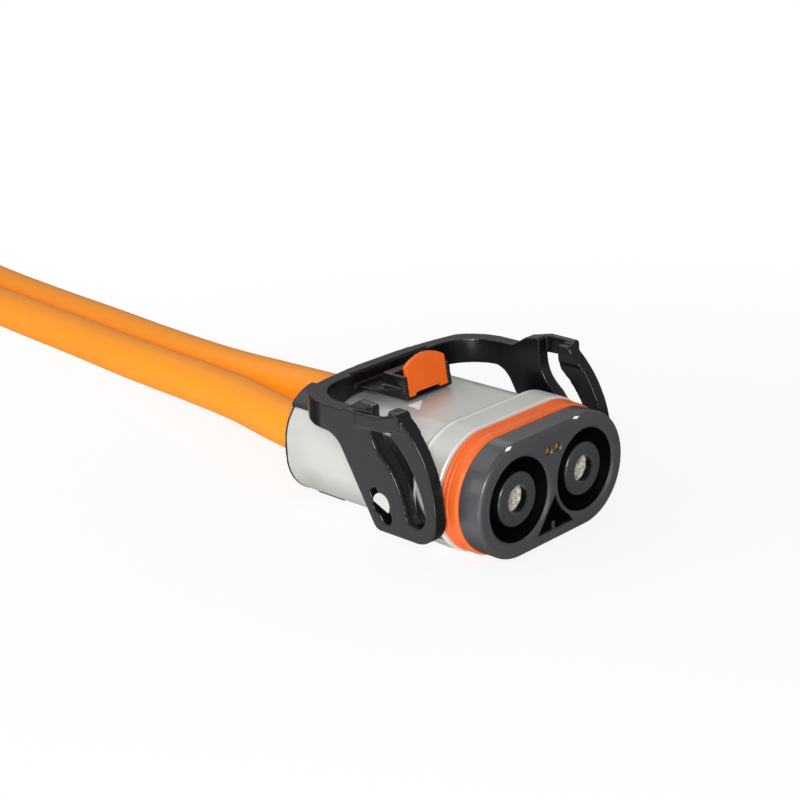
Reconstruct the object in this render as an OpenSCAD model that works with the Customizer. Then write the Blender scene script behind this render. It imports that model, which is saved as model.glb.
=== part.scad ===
// High voltage plug with two socket contacts in a die-cast shell. A cam lever
// draws it onto its header, a sliding button locks the lever, and two shielded
// cables leave the back and end in crimped ring lugs.
// Millimetres. X points out of the mating face, Y to the plug's left, Z up.
// The origin is the middle of the mating face.

/* [Contacts] */
// Distance between the two contacts
contact_pitch = 36; // [34.5:0.5:42]
// Bore of each socket contact
contact_bore_d = 10.2; // [8:0.2:11]
// Depth of each socket bore behind the contact's mouth
socket_depth = 25; // [20:1:27]
// Wall of the contact barrel outside its bore
contact_wall = 1.5; // [1.2:0.1:1.8]
// Outside diameter of the insulating tower round each contact
tower_d = 20; // [18:0.2:22]
// Distance from the mating face back to the tower's end
tower_recess = 1.2; // [0.4:0.2:4]
// Diameter of the cavity round each tower
cavity_d = 30.8; // [28:0.2:32]
// Depth of the cavities
cavity_depth = 28; // [24:0.5:31]

/* [Face and seal] */
// Height of the mating face
face_h = 42.6; // [40:0.2:47]
// Length of the face block ahead of the seal
face_len = 9.6; // [7:0.2:13]
// Rounding of the face's front edge
face_edge = 1.8; // [0.6:0.2:2.4]
// Width of the interface seal
seal_w = 8; // [6:0.2:10]
// Height that the seal's ribs stand above the face block
seal_proud = 0.9; // [0.4:0.1:1.2]

/* [Shell] */
// Height that the collar stands above the face block
collar_step = 1.6; // [1.3:0.1:3]
// Length of the collar behind the seal
collar_len = 13.4; // [12:0.2:18]
// Drop from the collar's top to the body's flat top
body_drop = 2.3; // [1.5:0.1:3]
// Drop from the collar's side to the body's flat side
body_side_drop = 6.4; // [3:0.1:7]
// Radius of the body's long edges
body_edge_r = 18; // [12:0.5:18.5]
// Length of the body behind the collar
body_len = 68.5; // [64:0.5:80]
// Bore behind each contact that holds the shield spring and the cable seal
shell_bore_d = 28; // [26:0.2:28.6]
// Thickness of the rear cap's plate
cap_t = 1; // [0.8:0.2:2.4]

/* [Cables] */
// Outside diameter of each cable
cable_d = 18.5; // [17:0.1:19.5]
// Diameter of the insulation under the cable's shield
insulation_d = 14.4; // [13.2:0.2:15]
// Diameter of the stranded conductor
conductor_d = 11.6; // [9:0.2:12.2]
// Clearance hole through each ring lug's palm
lug_hole_d = 8.4; // [6.4:0.1:10.5]
// Thickness of each ring lug's palm
lug_palm_t = 3.4; // [2.5:0.1:5]

/* [Lever] */
// Side clearance between the collar and each lever arm
arm_gap = 1.2; // [1:0.1:4]
// Thickness of each lever arm
arm_t = 5.6; // [4:0.1:7]
// Height that the bridge over each slot's mouth stands outside its arm
pad_proud = 1.3; // [0.6:0.1:3]
// Width of the cam slot in each arm
slot_w = 8.8; // [6.5:0.1:9.2]
// Distance from the mating face back to the cam's centre, ahead of the pivot studs
pivot_back = 36.6; // [35:0.1:39]
// Diameter of the pivot studs
pivot_d = 8; // [6:0.2:9]
// Distance from the cam's centre back to the rear of the crossbar
lever_reach = 49; // [45:0.5:56]
// Height of the crossbar
bar_h = 7.9; // [6:0.1:10]
// Thickness of the crossbar from front to back
bar_t = 7.5; // [5:0.1:8]
// Air between the body's top and the lever's crossbar
bar_air = 1.1; // [1:0.1:4]

/* [Lock] */
// Width of the sliding lock button
lock_w = 20.6; // [16:0.2:24]
// Height of the button at its sides
lock_h = 11.6; // [10:0.2:14]
// Height of the crown above the button's sides
lock_crown = 3.4; // [1:0.1:5]
// Thickness of the button's plate
lock_t = 2.4; // [1.8:0.1:3]
// Travel of the button
lock_travel = 4.5; // [3:0.1:5.5]

/* [Hidden] */
$fn = 48;
eps = 0.01;

// Clearance between pieces that slide together, and round the pivot studs
slip = 0.1;
pivot_play = 0.06;

// The contacts stand half the pitch to either side
half_pitch = contact_pitch/2;
sides = [1, -1];

// Mating face, seal seat and collar, from the front back
face_r = face_h/2;
neck_r = face_r - 2.8;
seal_x = -face_len;
collar_x = seal_x - seal_w;
collar_r = face_r + collar_step;
collar_extra = 0.5;
body_x = collar_x - collar_len;
rear_x = body_x - body_len;
seal_r = face_r + seal_proud;
collar_bore_r = neck_r + slip;

// Body section: flat top, flat sides and round long edges
body_top = collar_r - body_drop;
body_side = half_pitch + collar_extra + collar_r - body_side_drop;
edge_r = min(body_edge_r, body_top - 2);

// Insulating towers and the base that carries them
tower_r = tower_d/2;
cavity_r = cavity_d/2;
barrel_r = contact_bore_d/2 + contact_wall;
base_t = 3.6;
base_x = -cavity_depth - base_t;
lip_t = 3.3;
skirt_t = 1.5;
skirt_len = 9;
skirt_r = 14.8;
chamber_r = skirt_r + 2*slip;
chamber_x = base_x - skirt_len - 3;
shell_bore_r = shell_bore_d/2;

// Contact: barrel, flange against the base, waist and crimp
mouth_x = -tower_recess - lip_t;
flange_t = 3.4;
flange_r = barrel_r + 1.8;
waist_r = 6.2;
waist_len = 10;
crimp_len = 17;
crimp_x = base_x - flange_t - waist_len;
crimp_bore_r = conductor_d/2 + 0.05;
crimp_r = crimp_bore_r + 1.95;
groove_x = mouth_x - 4.5;
groove_len = 11;
groove_depth = 0.8;
band_bars = 16;

// Retainer behind the contact flanges
retainer_t = 3;
retainer_x = base_x - flange_t - retainer_t - slip;
retainer_r = skirt_r - skirt_t - slip;
comb_w = contact_pitch + 2*waist_r + 4;

// Cable seal, its retaining spigot and the shield parts, from the back forward
spigot_len = 9;
seal_len = 12;
cable_r = cable_d/2;
cap_x = rear_x - cap_t;
cable_seal_x = rear_x + spigot_len;
jacket_x = cable_seal_x + seal_len + 2;
insulation_r = insulation_d/2;
ferrule_len = 9;
ferrule_t = 2.2;
ferrule_r = insulation_r + ferrule_t;
ferrule_flange_r = ferrule_r + 2.8;
finger_count = 10;
finger_t = 0.4;

// Rear cap: thin plate and four latches; the two below reach down to the table
cap_grow = 0.2;
latch_y = 25;
latch_w = 11;
latch_len = 10;
latch_t = 1.8;
foot_y = 14.2;
foot_len = 13;
foot_t = collar_r - body_top;
hook_w = 3.6;
hook_len = 2.6;

// Interlock pair above the middle of the face
hvil_gap = 5;
hvil_z = 13.3;
hvil_r = 1.35;
hvil_bore_r = 1.05;
hvil_hole_r = 1.5;
hvil_x = -1.4;
hvil_len = 15;
carrier_x = -9;
carrier_len = 14;
carrier_w = 10;
carrier_h = 5;

// Key recess below the middle of the face
key_depth = 14;
key_wall = 1.6;
key_floor_z = -17;
key_apex_z = -3.6;
key_half_w = 10;
key_y = 0.7;
key_rib_t = 1.2;
key_rib_h = 3;

// Pivot studs, with a flat cut into their ends, and the key slot round them
pivot_x = -pivot_back;
stud_back = 1.4;
stud_z = -1.6;
stud_x = pivot_x - stud_back;
flat_depth = 4;
flat_out = 1.2;
flat_turn = 113;
key_turn = -59;

// Lever seen from the side, from the cam's centre: X forward and Z up
arm_in = half_pitch + collar_extra + collar_r + arm_gap;
arm_out = arm_in + arm_t;
bar_bottom = body_top + bar_air;
bar_top = bar_bottom + bar_h;
arm_low = bar_bottom - 1.7;
arm_foot = -11.8;
arm_front_x = -16.7;
arm_front_r = 41.4;
arm_tip = arm_front_x + arm_front_r;
arm_knee = -22.6;
knee_r = 10;
corner_r = 22;
bow_r = 180;
hump_h = 0.9;
hump_front = 23;
hump_back = 15;
shoulder_z = bar_top + 1.2;
ear_z = bar_top + 4;
lump_z = bar_top + 4.2;
roof_z = bar_top + 5.6;
pad_low = bar_top - 4.2;
pad_back = -11.4;
pad_front = 9.8;
pad_sunk = 1.4;
ear_back = -18.2;
ear_peak = -12;
boss_r = 6.6;

// Cam slot: points of its centre line from the seat, over the cam, to the mouth
cam = [[14.9, -1.3], [13.7, 3.9], [10.3, 11.4], [5.9, 17.3], [1, 22], [-0.6, 28], [-0.6, roof_z + 4]];
cam_steps = 5;

// Lock: its frame leans back and stands on the lever's block
lock_lean = 8;
lock_ahead = 19.8;
lock_x = pivot_x - lever_reach + bar_t + lock_ahead;
sleeve_floor = 0.8;
sleeve_air = 0.7;
lock_z = body_top + sleeve_air + sleeve_floor;
lock_play = 0.2;
sleeve_wall = 1.5;
sleeve_h = 8.2;
sleeve_in = lock_w/2 + lock_play;
sleeve_out = sleeve_in + sleeve_wall;
pocket_len = lock_t + lock_travel + lock_play;
pocket_top = lock_h + lock_crown + 5;
tongue_w = 13;
tongue_t = 3;
tongue_z = 2.6;
tongue_len = 11;
block_len = 20.5;
hood_len = 12.4;
web_z = 2.2;
web_t = 1.3;
web_half = 18.8;

// Cables: hand-placed points, in from the back of the cap to the lug
floor_z = -collar_r;
route_left = [[-125, 17.8, -0.6], [-160, 18.4, -1.9], [-200, 21, -4], [-250, 28.3, -6.5],
  [-300, 37.3, -9], [-350, 45.5, -11.3], [-400, 53, -12.8], [-445, 60, -13.5], [-485, 65.6, -13.3]];
route_right = [[-125, -14, -0.6], [-160, -5.5, -1.9], [-200, 1.7, -4], [-250, 9.1, -6.5],
  [-300, 18, -9], [-350, 26, -11.3], [-400, 33, -12.8], [-445, 37.9, -13.5], [-485, 40.7, -13.3]];
end_left = [-572, 68.5, -12.5];
end_right = [-572, 41.5, -12.5];
tube_sides = 12;
tube_steps = 2;
boot_wall = 1.1;
boot_r = cable_r + boot_wall;
boot_on_cable = 26;
boot_past_cable = 20;
lug_r = conductor_d/2 + 2.2;
lug_barrel_len = 32;
lug_neck_len = 8;
lug_palm_w = 24;

// Turn the drawing plane to look forward along X, or sideways
module facing_x(x) { translate([x, 0, 0]) rotate([90, 0, 90]) children(); }
module facing_y(y) { translate([0, y, 0]) rotate([90, 0, 0]) children(); }
module at_contact(s) { translate([0, s*half_pitch, 0]) children(); }

// Cylinder or tube along X, from x0 forward to x1
module rod(x0, x1, r, r_in = 0) {
  facing_x(x0) linear_extrude(x1 - x0) difference() {
    circle(r);
    if (r_in > 0) circle(r_in);
  }
}

// Outline with one straight and one round end for each contact
module obround(r, extra = 0) {
  for (s = sides) translate([s*(half_pitch + extra), 0]) circle(r);
  square([2*(half_pitch + extra), 2*r], center = true);
}

// Solid of the same outline that follows a half section: its radius is drawn
// along X and its depth, forward from x, along Y
module obround_body(x, extra = 0) {
  c = half_pitch + extra;
  translate([x, 0, 0]) {
    for (k = [0, 1]) mirror([0, k, 0]) translate([0, c, 0]) rotate([0, 90, 0])
      rotate_extrude(angle = 180) children();
    for (k = [0, 1]) mirror([0, 0, k]) rotate([90, 0, 0])
      linear_extrude(2*c, center = true) mirror([1, -1]) children();
  }
}

// Half section of a block with its outer edges rounded
module block_section(r, len, front = 0, back = 0) {
  difference() {
    square([r, len]);
    translate([r - front, len - front]) outside_corner(front);
    translate([r - back, back]) mirror([0, 1]) outside_corner(back);
  }
}

module outside_corner(r) {
  if (r > 0) difference() {
    square(r + eps);
    circle(r);
  }
}

module rounded_box(w, h, r) {
  square([w, h - 2*r], center = true);
  square([w - 2*r, h], center = true);
  for (y = [-1, 1], z = [-1, 1]) translate([y*(w/2 - r), z*(h/2 - r)]) circle(r);
}

// Section of the shell's body, grown by an even gap
module body_outline(grow = 0) {
  rounded_box(2*(body_side + grow), 2*(body_top + grow), edge_r + grow);
}

// Polygon corners [x, y, radius] turned into an outline with those fillets
function fillet(a, b, c, r) =
  let (u = unit(a - b), v = unit(c - b), half = acos(u*v)/2, d = r/tan(half),
       m = b + unit(u + v)*r/sin(half), s = b + u*d - m, e = b + v*d - m,
       a0 = atan2(s.y, s.x), turn = atan2(s.x*e.y - s.y*e.x, s*e), n = max(2, ceil(abs(turn)/9)))
  [for (i = [0:n]) m + r*[cos(a0 + turn*i/n), sin(a0 + turn*i/n)]];
function unit(v) = v/norm(v);
function xy(p) = [p.x, p.y];
function outline(c) = let (n = len(c)) [for (i = [0:n - 1])
  each c[i][2] > 0 ? fillet(xy(c[(i + n - 1)%n]), xy(c[i]), xy(c[(i + 1)%n]), c[i][2]) : [xy(c[i])]];

// Smooth curve through points, with steps pieces between each pair
function spline(p, steps) = let (n = len(p) - 1) concat(
  [for (i = [0:n - 1], k = [0:steps - 1])
    let (a = p[max(i - 1, 0)], b = p[i], c = p[i + 1], d = p[min(i + 2, n)], t = k/steps)
    0.5*(2*b + (c - a)*t + (2*a - 5*b + 4*c - d)*t*t + (3*b - a - 3*c + d)*t*t*t)],
  [p[n]]);
function along(p, i) = unit(p[min(i + 1, len(p) - 1)] - p[max(i - 1, 0)]);
function beside(p, d) = [for (i = [0:len(p) - 1]) let (t = along(p, i)) p[i] + d*[-t.y, t.x]];

module ribbon(p, w) {
  polygon(concat(beside(p, w/2), [for (i = [len(p) - 1:-1:0]) beside(p, -w/2)[i]]));
  translate(p[0]) circle(w/2);
}

// Die-cast shell: collar, body with two bores, pivot studs and latch hooks
module housing() {
  color("#b9bab6") {
    difference() {
      union() {
        obround_body(body_x, collar_extra) block_section(collar_r, collar_len, 0.8, 2.4);
        facing_x(rear_x) linear_extrude(body_len + 3) body_outline();
        for (s = sides) pivot_stud(s);
      }
      facing_x(base_x) linear_extrude(-base_x) obround(collar_bore_r);
      facing_x(chamber_x) linear_extrude(base_x - chamber_x + eps) obround(chamber_r);
      for (s = sides) at_contact(s) rod(rear_x - 1, chamber_x + 1, shell_bore_r);
    }
    for (s = sides, k = sides) latch_hook(s, k);
  }
}

module pivot_stud(s) {
  tip = arm_out - 0.5;
  mirror([0, s < 0 ? 1 : 0, 0]) translate([stud_x, 0, stud_z]) rotate([-90, 0, 0]) {
    translate([0, 0, body_side - 1]) cylinder(h = arm_in - 0.4 - body_side + 1, r = boss_r);
    translate([0, 0, body_side - 1]) cylinder(h = tip - flat_depth - body_side + 1, d = pivot_d);
    translate([0, 0, tip - flat_depth - eps]) linear_extrude(flat_depth + eps) difference() {
      circle(d = pivot_d);
      rotate(flat_turn) translate([flat_out, -pivot_d]) square(2*pivot_d);
    }
  }
}

module latch_hook(s, k) {
  facing_x(rear_x + latch_len - 3 - hook_len) linear_extrude(hook_len) intersection() {
    difference() {
      body_outline(latch_t - 0.3);
      body_outline(-0.5);
    }
    translate([s*latch_at(k), k*body_top]) square([hook_w, 12], center = true);
  }
}

// Moulded face block with the two cavities, the key recess and the interlock holes
module front_shroud() {
  color("#4a4b4e") difference() {
    union() {
      obround_body(seal_x) block_section(face_r, face_len, face_edge);
      facing_x(-cavity_depth) linear_extrude(cavity_depth + seal_x + eps) obround(neck_r);
    }
    for (s = sides) at_contact(s) {
      rod(-cavity_depth - 1, 1, cavity_r);
      rotate([0, 90, 0]) translate([0, 0, -0.9]) cylinder(h = 1, r1 = cavity_r, r2 = cavity_r + 1);
    }
    key_recess();
    for (s = sides) translate([0, s*hvil_gap/2, hvil_z]) {
      rod(carrier_x - 1, 1, hvil_hole_r);
      rotate([0, 90, 0]) translate([0, 0, -0.6]) cylinder(h = 0.7, r1 = hvil_hole_r, r2 = hvil_hole_r + 0.6);
    }
    translate([carrier_x - carrier_len - 6, -carrier_w/2 - slip, hvil_z - carrier_h/2 - slip])
      cube([carrier_len + 6, carrier_w + 2*slip, carrier_h + 2*slip]);
  }
}

module key_recess() {
  difference() {
    facing_x(-key_depth) linear_extrude(key_depth + 1) difference() {
      translate([key_y, 0]) polygon([[0, key_apex_z], [key_half_w, key_floor_z], [-key_half_w, key_floor_z]]);
      for (s = sides) translate([s*half_pitch, 0]) circle(cavity_r + key_wall);
    }
    translate([-key_depth, -key_rib_t/2, key_floor_z]) cube([key_depth - 0.5, key_rib_t, key_rib_h]);
  }
}

// Insulator: a base plate, one tower for each contact and a skirt for the retainer
module terminal_housing() {
  color("#232326") difference() {
    union() {
      facing_x(base_x) linear_extrude(base_t - eps) obround(neck_r);
      for (s = sides) at_contact(s) translate([base_x, 0, 0]) rotate([0, 90, 0])
        rotate_extrude() block_section(tower_r, -base_x - tower_recess, 1.2);
      facing_x(base_x - skirt_len) linear_extrude(skirt_len + eps) difference() {
        obround(skirt_r);
        obround(skirt_r - skirt_t);
      }
    }
    for (s = sides) at_contact(s) {
      rod(base_x - 1, mouth_x, barrel_r + slip);
      rod(mouth_x - 1, 1, contact_bore_d/2 + 0.25);
    }
    translate([retainer_x - slip, -comb_w/2 - slip, -skirt_r - 1])
      cube([retainer_t + 2*slip, comb_w + 2*slip, skirt_r - 8]);
  }
}

// Secondary lock: a comb that slides up behind the contact flanges
module contact_retainer() {
  color("#d9d7cf") facing_x(retainer_x) linear_extrude(retainer_t) difference() {
    intersection() {
      obround(retainer_r);
      square([comb_w, 2*retainer_r], center = true);
    }
    for (s = sides) translate([s*half_pitch, 0]) {
      circle(waist_r + 0.2);
      translate([-waist_r - 0.2, -retainer_r - 1]) square([2*waist_r + 0.4, retainer_r + 1]);
    }
  }
}

// Interface seal: a broad front band and two narrow ribs on a flat foot
module perimeter_seal() {
  color("#ee6d33") obround_body(collar_x) translate([neck_r, 0]) {
    translate([0, 0.4]) square([face_r - neck_r - 0.4, seal_w - 0.4]);
    translate([0, 0.55*seal_w]) difference() {
      square([seal_r - neck_r, 0.45*seal_w]);
      translate([seal_r - neck_r - 1.2, 0.45*seal_w - 1.2]) outside_corner(1.2, $fn = 24);
    }
    for (k = [0, 1]) translate([seal_r - neck_r - 0.9, 1 + k*0.24*seal_w]) circle(0.9, $fn = 16);
  }
}

module hvil_carrier() {
  color("#2b2b2e") difference() {
    translate([carrier_x - carrier_len, -carrier_w/2, hvil_z - carrier_h/2])
      cube([carrier_len, carrier_w, carrier_h]);
    for (s = sides) translate([0, s*hvil_gap/2, hvil_z]) rod(hvil_x - hvil_len - 1, 1, hvil_r + slip/2);
    translate([hvil_x - hvil_len - 1, -hvil_gap/2 - hvil_r - slip/2, hvil_z - hvil_r - slip/2])
      cube([2.8, hvil_gap + 2*hvil_r + slip, 2*hvil_r + slip]);
  }
}

// Gold-plated shunt: two sleeves joined by a bar
module hvil_shunt() {
  color("#caa04a") {
    for (s = sides) translate([0, s*hvil_gap/2, hvil_z]) rod(hvil_x - hvil_len, hvil_x, hvil_r, hvil_bore_r);
    translate([hvil_x - hvil_len - 0.6, -hvil_gap/2 - hvil_r, hvil_z - hvil_r])
      cube([0.6 + eps, hvil_gap + 2*hvil_r, 2*hvil_r]);
  }
}

// Silver-plated socket contact, turned in one piece with its crimp barrel
module contact(s) {
  color("#c9c8c4") at_contact(s) difference() {
    union() {
      rod(base_x - eps, mouth_x, barrel_r);
      rod(base_x - flange_t, base_x, flange_r);
      rod(crimp_x, base_x, waist_r);
      rod(crimp_x - crimp_len, crimp_x + eps, crimp_r);
    }
    rod(mouth_x - socket_depth, 1, contact_bore_d/2);
    rod(groove_x - groove_len, groove_x, contact_bore_d/2 + groove_depth);
    rod(crimp_x - crimp_len - 1, crimp_x - 1, crimp_bore_r);
  }
}

// Sheet ring whose middle bows by the given amount, cut into bars by slots
module bowed_ring(r, bow, t, len, end, slots, slot) {
  steps = 6;
  function height(k) = r + bow*sin(180*k/steps);
  difference() {
    rotate([0, 90, 0]) rotate_extrude() polygon(concat(
      [[r, 0]], [for (k = [0:steps]) [height(k), end + (len - 2*end)*k/steps]], [[r, len]],
      [[r + t, len]], [for (k = [steps:-1:0]) [height(k) + t, end + (len - 2*end)*k/steps]], [[r + t, 0]]));
    for (i = [0:slots - 1]) rotate([360/slots*(i + 0.37), 0, 0]) translate([end + 0.2, -slot/2, 0])
      cube([len - 2*end - 0.4, slot, r + abs(bow) + 2*t]);
  }
}

// Band of thin bars that presses on the header's pin
module contact_spring(s) {
  r = contact_bore_d/2 + groove_depth - 0.28;
  color("#a9a59a") at_contact(s) translate([groove_x - groove_len + slip, 0, 0])
    bowed_ring(r, 0.05 - groove_depth + 0.28, 0.25, groove_len - 2*slip, 1.2, band_bars, 0.9);
}

// Cable stripped of jacket and shield: bare strands, then insulation
module cable_core(s) {
  color("#d8d2c4") at_contact(s) {
    rod(crimp_x - crimp_len - 1.5, crimp_x - 1.2, conductor_d/2);
    rod(jacket_x, crimp_x - crimp_len - 1.5 + eps, insulation_r);
  }
}

module shield_ferrule(s) {
  color("#b3aca0") at_contact(s) {
    rod(jacket_x + slip, jacket_x + ferrule_len, ferrule_r, insulation_r + 0.05);
    rod(jacket_x + ferrule_len - 1.6, jacket_x + ferrule_len, ferrule_flange_r, insulation_r + 0.05);
  }
}

// Ring of bowed fingers between the ferrule and the shell
module shield_spring(s) {
  r = ferrule_r + 0.05;
  color("#c7c5bd") at_contact(s) translate([jacket_x + 0.6, 0, 0])
    bowed_ring(r, shell_bore_r - 0.1 - finger_t - r, finger_t, ferrule_len - 3, 0.8, finger_count, 2.4);
}

module cable_seal(s) {
  color("#e8682e") at_contact(s) translate([cable_seal_x, 0, 0]) rotate([0, 90, 0]) rotate_extrude() {
    translate([cable_r + 0.6, 0]) square([shell_bore_r - cable_r - 1.4, seal_len]);
    for (k = [0:2]) {
      translate([shell_bore_r - 0.8 - slip/2, 2 + 4*k]) circle(0.8);
      translate([cable_r + 0.6, 2 + 4*k]) circle(0.6);
    }
  }
}

// Rear cap: plate, a spigot behind each cable seal and four latches
module rear_cap() {
  color("#1f1f21") difference() {
    union() {
      facing_x(cap_x) linear_extrude(cap_t) body_outline(cap_grow);
      for (s = sides) at_contact(s) rod(rear_x - eps, cable_seal_x, shell_bore_r - 2*slip);
      for (s = sides, k = sides) latch(s, k);
    }
    for (s = sides) at_contact(s) rod(cap_x - 1, cable_seal_x + 1, cable_r + 0.5);
  }
}

function latch_at(k) = k > 0 ? latch_y : foot_y;

module latch(s, k) {
  difference() {
    facing_x(cap_x) linear_extrude((k > 0 ? latch_len : foot_len) + cap_t) intersection() {
      difference() {
        body_outline(k > 0 ? latch_t : foot_t);
        body_outline(slip/2);
      }
      translate([s*latch_at(k), k*body_top]) square([latch_w, 10], center = true);
    }
    translate([rear_x + latch_len - 3 - hook_len - 0.3, s*latch_at(k) - hook_w/2 - 0.3, k*body_top - 5])
      cube([hook_len + 0.6, hook_w + 0.6, 10]);
  }
}

// Lever arm in side view: an ear behind the cam slot's mouth, a nose ahead of it
module arm_outline(roofed) {
  intersection() {
    polygon(outline([[-lever_reach + corner_r, bar_top, 0], [ear_back, bar_top, 2],
      [ear_peak, ear_z, 1.6], [-6.6, ear_z + (roofed ? 1 : -0.5), 1], [2, ear_z - 1.5, 1],
      [3.9, lump_z, 0.6], [arm_tip, lump_z, 0], [arm_tip, arm_foot, 9.3], [-4.1, arm_foot, 4],
      [arm_knee, arm_low, knee_r], [-lever_reach + corner_r, arm_low, 0]]));
    translate([arm_front_x, 0]) circle(arm_front_r);
  }
  polygon(outline([[4, 20, 0], [4, lump_z, 0.5], [8.9, lump_z, 1.5], [11.4, 29, 4], [15, 20, 0]]));
}

module pad_outline() {
  polygon(outline([[pad_back, pad_low, 1], [2, pad_low + 0.4, 6], [pad_front, pad_low + 2.8, 0.8],
    [pad_front, lump_z + 0.2, 1.4], [3.4, shoulder_z + 1.3, 1], [1.4, shoulder_z + 0.4, 1],
    [pad_back, shoulder_z - 0.2, 0.6]]));
}

// The left arm's bridge is taller and roofs the mouth as high as the ear
module roof_outline() {
  front = pad_front - 0.9;
  polygon(outline([[pad_back, pad_low + 1.6, 1], [-6, pad_low + 2.6, 3], [front, pad_low + 3.6, 0.8],
    [front, roof_z - 0.3, 1.2], [-4, roof_z, 3], [pad_back, ear_z - 0.2, 1]]));
}

// One arm: slab, cam slot, keyed pivot hole and the bridge over the slot's mouth
module lever_arm(roofed) {
  path = spline(cam, cam_steps);
  step_z = pad_low + 1.7;
  lower = [for (p = path) if (p.y < step_z) p];
  difference() {
    facing_y(arm_out) linear_extrude(arm_t) difference() {
      arm_outline(roofed);
      ribbon(path, slot_w);
      translate([-stud_back, stud_z]) {
        circle(pivot_d/2 + pivot_play);
        rotate(key_turn) {
          translate([-6.2, -2.6]) square([6.2, 3.7]);
          translate([0, -2.5]) square([5.1, 5]);
          translate([5.1, 0]) circle(2.5);
        }
      }
    }
    facing_y(arm_out + eps) linear_extrude(1.2) ribbon(path, slot_w + 1);
    if (!roofed) facing_y(arm_out + eps) linear_extrude(2.2) polygon([[ear_back - 3, bar_top + 0.6],
      [pad_back - 0.4, shoulder_z - 0.6], [2, shoulder_z], [2, roof_z + 1], [ear_back - 3, roof_z + 1]]);
    facing_y(arm_in + 0.6) linear_extrude(2) polygon(concat([[arm_tip + 1, lower[0].y]], lower,
      [[lower[len(lower) - 1].x, step_z], [arm_tip + 1, step_z]]));
  }
  facing_y(arm_out + pad_proud) linear_extrude(pad_proud + pad_sunk) {
    if (roofed) roof_outline();
    else pad_outline();
  }
}

// Crossbar: round corners into the arms, bowed back, and clear of the shell below
module crossbar() {
  rear = -lever_reach;
  front = rear + bar_t;
  translate([0, 0, bar_top - 0.5]) linear_extrude(0.5 + hump_h) polygon(outline([[rear + 2.4, -hump_back, 2],
    [front - 0.5, -hump_front, 1], [front - 0.5, hump_front, 1], [rear + 2.4, hump_back, 2]]));
  difference() {
    translate([0, 0, arm_low]) linear_extrude(bar_top - arm_low) difference() {
      intersection() {
        union() {
          translate([rear + corner_r, -arm_out]) square([eps, 2*arm_out]);
          translate([rear, -arm_out + corner_r]) square([corner_r + eps, 2*(arm_out - corner_r)]);
          for (s = sides) translate([rear + corner_r, s*(arm_out - corner_r)]) circle(corner_r);
        }
        translate([rear + bow_r, 0]) circle(bow_r);
        translate([rear - 1, -arm_out]) square([corner_r + 1 + eps, 2*arm_out]);
      }
      translate([front + 17, -arm_in]) square([corner_r, 2*arm_in]);
      translate([front, -arm_in + 17]) square([corner_r, 2*(arm_in - 17)]);
      for (s = sides) translate([front + 17, s*(arm_in - 17)]) circle(17);
    }
    translate([rear - 1, 0, 0]) rotate([90, 0, 90]) linear_extrude(corner_r + 2) body_outline(bar_air);
  }
}

module lock_frame() { translate([lock_x, 0, lock_z]) children(); }

// Block ahead of the crossbar that carries the lock button: its front leans
// back and holds a pocket for the plate, with a slot behind it for the tongue
module lock_block() {
  lean = tan(lock_lean);
  difference() {
    union() {
      facing_y(sleeve_out) linear_extrude(2*sleeve_out) polygon([[4*lean, -4], [-sleeve_h*lean, sleeve_h],
        [-hood_len, sleeve_h], [-hood_len, web_z + web_t], [-block_len, web_z + web_t], [-block_len, -4]]);
      translate([0, 0, web_z]) linear_extrude(web_t) polygon([[-2.3, -sleeve_out], [-12.5, -web_half],
        [-block_len, -web_half], [-block_len, web_half], [-12.5, web_half], [-2.3, sleeve_out]]);
    }
    facing_y(sleeve_in) linear_extrude(2*sleeve_in) polygon([[2, 0], [-pocket_len, 0],
      [-pocket_len - pocket_top*lean, pocket_top], [2, pocket_top]]);
    translate([-lock_t - tongue_len - lock_travel - 0.6, -tongue_w/2 - lock_play, tongue_z - slip])
      cube([tongue_len + lock_travel + 1, tongue_w + 2*lock_play, tongue_t + 2*slip]);
  }
}

module lever() {
  color("#2c2c2f") difference() {
    union() {
      translate([pivot_x, 0, 0]) {
        lever_arm(true);
        mirror([0, 1, 0]) lever_arm(false);
        crossbar();
      }
      lock_frame() lock_block();
    }
    facing_x(rear_x) linear_extrude(body_len) body_outline(sleeve_air);
  }
}

// Lock button: crowned plate with a split tongue that slides in the block
module lock_button() {
  crown_r = (lock_w*lock_w/4 + lock_crown*lock_crown)/(2*lock_crown);
  top = lock_h + lock_crown;
  color("#e8641f") lock_frame() difference() {
    union() {
      rotate([0, -lock_lean, 0]) facing_x(-lock_t) linear_extrude(lock_t) intersection() {
        translate([-lock_w/2, -1]) square([lock_w, top + 1]);
        translate([0, top - crown_r]) circle(crown_r);
      }
      translate([-lock_t - tongue_len, -tongue_w/2, tongue_z]) cube([tongue_len, tongue_w, tongue_t]);
    }
    translate([-10, -lock_w, slip - 5]) cube([20, 2*lock_w, 5]);
    translate([-10, -0.33*lock_w, slip - 1]) cube([20, 0.62*lock_w, 2]);
    translate([-lock_t - tongue_len - 1, -1.2, 0]) cube([tongue_len - 2, 2.4, 20]);
  }
}

// Cable jacket swept along its route, in one closed skin
function route(s, points, end) = concat(
  [[jacket_x, s*half_pitch, 0], [(jacket_x + cap_x)/2, s*half_pitch, 0], [cap_x, s*half_pitch, 0]],
  points, [end + [2*boot_on_cable + 2, 0, 0], end + [boot_on_cable + 1, 0, 0], end]);
function ring(p, i) = let (t = unit(p[min(i + 1, len(p) - 1)] - p[max(i - 1, 0)]),
    side = unit(cross([0, 0, 1], t)), up = cross(t, side))
  [for (k = [0:tube_sides - 1]) let (a = 360/tube_sides*k) p[i] + cable_r*(cos(a)*side + sin(a)*up)];

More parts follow.
